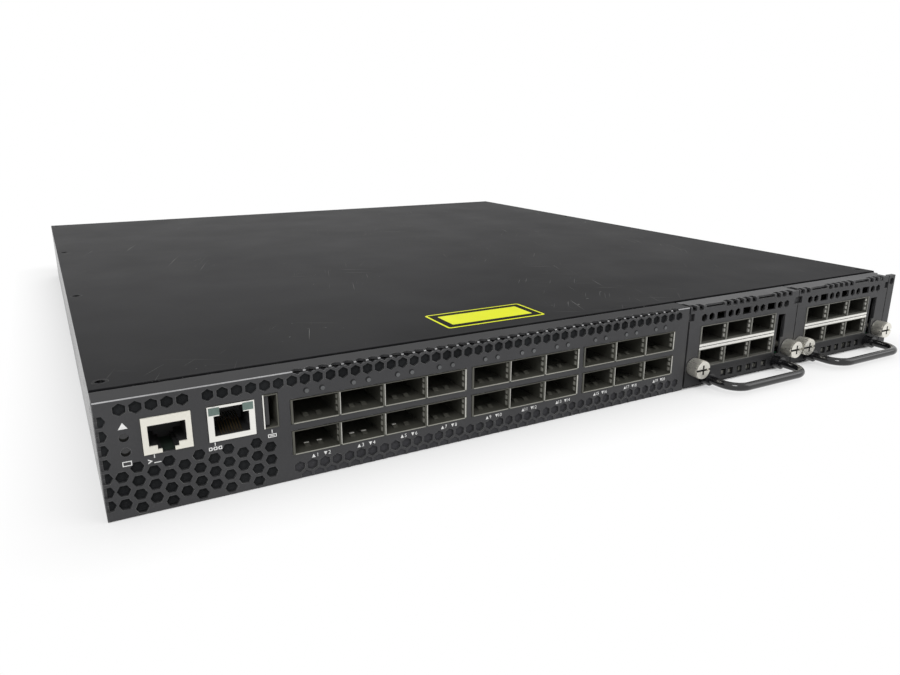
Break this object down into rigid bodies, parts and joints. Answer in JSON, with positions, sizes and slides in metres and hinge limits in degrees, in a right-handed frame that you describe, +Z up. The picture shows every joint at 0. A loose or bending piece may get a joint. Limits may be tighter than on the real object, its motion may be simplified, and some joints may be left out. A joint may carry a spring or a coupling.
{
  "type": "ethernet switch",
  "caption": "Flat black rack network switch with stacked cage ports, hex-vented folded front, plug-in port modules, rear fan modules and power supplies.",
  "frame": {"origin": "middle of the case's underside", "axes": "+Z up, +Y from the port face to the fan and supply face, +X to the right seen from the port face"},
  "size_m": [0.44, 0.5204, 0.0436],
  "materials": {
    "black_paint": "fine satin black powder coat on folded steel",
    "black_screw": "black oxide",
    "galvanised": "galvanised sheet with faint spangle",
    "cage_steel": "bright plated spring steel",
    "black_plastic": "moulded black plastic",
    "cream_plastic": "off-white moulded plastic",
    "red_coat": "glossy red dip coat",
    "black_rod": "black coated rod",
    "circuit_board": "solder mask",
    "fin_aluminium": "extruded aluminium",
    "nickel": "nickel plate",
    "lamp_lens": "smoked light pipe",
    "release_red": "brick red moulded plastic"
  },
  "bodies": {
    "chassis": {"base_tray": "black_paint", "front_panel": "black_paint", "top_cover": "black_paint", "cover_screws": "black_screw", "rear_panel": "black_paint", "module_bracket": "black_paint", "main_board": "circuit_board", "chip_heatsink": "fin_aluminium", "port_cage_left": "cage_steel", "port_cage_middle": "cage_steel", "port_cage_right": "cage_steel", "console_jack": "cream_plastic", "management_jack": "cage_steel", "usb_socket": "cage_steel", "status_lamps": "lamp_lens"},
    "module_left": {"module_left_carrier": "black_paint", "module_left_cage": "cage_steel", "module_left_board": "circuit_board", "module_left_handle": "black_rod"},
    "module_left_screw_a": {"module_left_screw_a": "nickel"},
    "module_left_screw_b": {"module_left_screw_b": "nickel"},
    "module_right": {"module_right_carrier": "black_paint", "module_right_cage": "cage_steel", "module_right_board": "circuit_board", "module_right_handle": "black_rod"},
    "module_right_screw_a": {"module_right_screw_a": "nickel"},
    "module_right_screw_b": {"module_right_screw_b": "nickel"},
    "fan_1": {"fan_1_frame": "black_paint", "fan_1_housing": "black_plastic", "fan_1_handle": "red_coat"},
    "fan_1_rotor": {"fan_1_rotor": "black_plastic"},
    "fan_1_screw": {"fan_1_screw": "nickel"},
    "fan_2": {"fan_2_frame": "black_paint", "fan_2_housing": "black_plastic", "fan_2_handle": "red_coat"},
    "fan_2_rotor": {"fan_2_rotor": "black_plastic"},
    "fan_2_screw": {"fan_2_screw": "nickel"},
    "fan_3": {"fan_3_frame": "black_paint", "fan_3_housing": "black_plastic", "fan_3_handle": "red_coat"},
    "fan_3_rotor": {"fan_3_rotor": "black_plastic"},
    "fan_3_screw": {"fan_3_screw": "nickel"},
    "fan_4": {"fan_4_frame": "black_paint", "fan_4_housing": "black_plastic", "fan_4_handle": "red_coat"},
    "fan_4_rotor": {"fan_4_rotor": "black_plastic"},
    "fan_4_screw": {"fan_4_screw": "nickel"},
    "fan_5": {"fan_5_frame": "black_paint", "fan_5_housing": "black_plastic", "fan_5_handle": "red_coat"},
    "fan_5_rotor": {"fan_5_rotor": "black_plastic"},
    "fan_5_screw": {"fan_5_screw": "nickel"},
    "supply_1": {"supply_1_case": "galvanised", "supply_1_inlet": "black_plastic", "supply_1_handle": "black_rod"},
    "supply_1_latch": {"supply_1_latch": "release_red"},
    "supply_2": {"supply_2_case": "galvanised", "supply_2_inlet": "black_plastic", "supply_2_handle": "black_rod"},
    "supply_2_latch": {"supply_2_latch": "release_red"}
  },
  "joints": [
    {"name": "module_left_slide", "type": "slide", "parent": "chassis", "child": "module_left", "axis": [0, -1, 0], "range_m": [0, 0.18]},
    {"name": "module_left_screw_a_turn", "type": "hinge", "parent": "module_left", "child": "module_left_screw_a", "pos_m": [0.0542, -0.235, 0.012], "axis": [0, 1, 0], "continuous": true},
    {"name": "module_left_screw_b_turn", "type": "hinge", "parent": "module_left", "child": "module_left_screw_b", "pos_m": [0.126, -0.235, 0.012], "axis": [0, 1, 0], "continuous": true},
    {"name": "module_right_slide", "type": "slide", "parent": "chassis", "child": "module_right", "axis": [0, -1, 0], "range_m": [0, 0.18]},
    {"name": "module_right_screw_a_turn", "type": "hinge", "parent": "module_right", "child": "module_right_screw_a", "pos_m": [0.1367, -0.235, 0.012], "axis": [0, 1, 0], "continuous": true},
    {"name": "module_right_screw_b_turn", "type": "hinge", "parent": "module_right", "child": "module_right_screw_b", "pos_m": [0.2085, -0.235, 0.012], "axis": [0, 1, 0], "continuous": true},
    {"name": "fan_1_slide", "type": "slide", "parent": "chassis", "child": "fan_1", "axis": [0, 1, 0], "range_m": [0, 0.07]},
    {"name": "fan_1_spin", "type": "hinge", "parent": "fan_1", "child": "fan_1_rotor", "pos_m": [-0.184, 0.182, 0.0211], "axis": [0, 1, 0], "continuous": true},
    {"name": "fan_1_screw_turn", "type": "hinge", "parent": "fan_1", "child": "fan_1_screw", "pos_m": [-0.2106, 0.235, 0.0324], "axis": [0, 1, 0], "continuous": true},
    {"name": "fan_2_slide", "type": "slide", "parent": "chassis", "child": "fan_2", "axis": [0, 1, 0], "range_m": [0, 0.07]},
    {"name": "fan_2_spin", "type": "hinge", "parent": "fan_2", "child": "fan_2_rotor", "pos_m": [-0.124, 0.182, 0.0211], "axis": [0, 1, 0], "continuous": true},
    {"name": "fan_2_screw_turn", "type": "hinge", "parent": "fan_2", "child": "fan_2_screw", "pos_m": [-0.1506, 0.235, 0.0324], "axis": [0, 1, 0], "continuous": true},
    {"name": "fan_3_slide", "type": "slide", "parent": "chassis", "child": "fan_3", "axis": [0, 1, 0], "range_m": [0, 0.07]},
    {"name": "fan_3_spin", "type": "hinge", "parent": "fan_3", "child": "fan_3_rotor", "pos_m": [-0.064, 0.182, 0.0211], "axis": [0, 1, 0], "continuous": true},
    {"name": "fan_3_screw_turn", "type": "hinge", "parent": "fan_3", "child": "fan_3_screw", "pos_m": [-0.0906, 0.235, 0.0324], "axis": [0, 1, 0], "continuous": true},
    {"name": "fan_4_slide", "type": "slide", "parent": "chassis", "child": "fan_4", "axis": [0, 1, 0], "range_m": [0, 0.07]},
    {"name": "fan_4_spin", "type": "hinge", "parent": "fan_4", "child": "fan_4_rotor", "pos_m": [-0.004, 0.182, 0.0211], "axis": [0, 1, 0], "continuous": true},
    {"name": "fan_4_screw_turn", "type": "hinge", "parent": "fan_4", "child": "fan_4_screw", "pos_m": [-0.0306, 0.235, 0.0324], "axis": [0, 1, 0], "continuous": true},
    {"name": "fan_5_slide", "type": "slide", "parent": "chassis", "child": "fan_5", "axis": [0, 1, 0], "range_m": [0, 0.07]},
    {"name": "fan_5_spin", "type": "hinge", "parent": "fan_5", "child": "fan_5_rotor", "pos_m": [0.056, 0.182, 0.0211], "axis": [0, 1, 0], "continuous": true},
    {"name": "fan_5_screw_turn", "type": "hinge", "parent": "fan_5", "child": "fan_5_screw", "pos_m": [0.0294, 0.235, 0.0324], "axis": [0, 1, 0], "continuous": true},
    {"name": "supply_1_slide", "type": "slide", "parent": "chassis", "child": "supply_1", "axis": [0, 1, 0], "range_m": [0, 0.215]},
    {"name": "supply_1_release", "type": "slide", "parent": "supply_1", "child": "supply_1_latch", "axis": [1, 0, 0], "range_m": [0, 0.003], "stiffness_N_per_m": 900},
    {"name": "supply_2_slide", "type": "slide", "parent": "chassis", "child": "supply_2", "axis": [0, 1, 0], "range_m": [0, 0.215]},
    {"name": "supply_2_release", "type": "slide", "parent": "supply_2", "child": "supply_2_latch", "axis": [1, 0, 0], "range_m": [0, 0.003], "stiffness_N_per_m": 900}
  ]
}
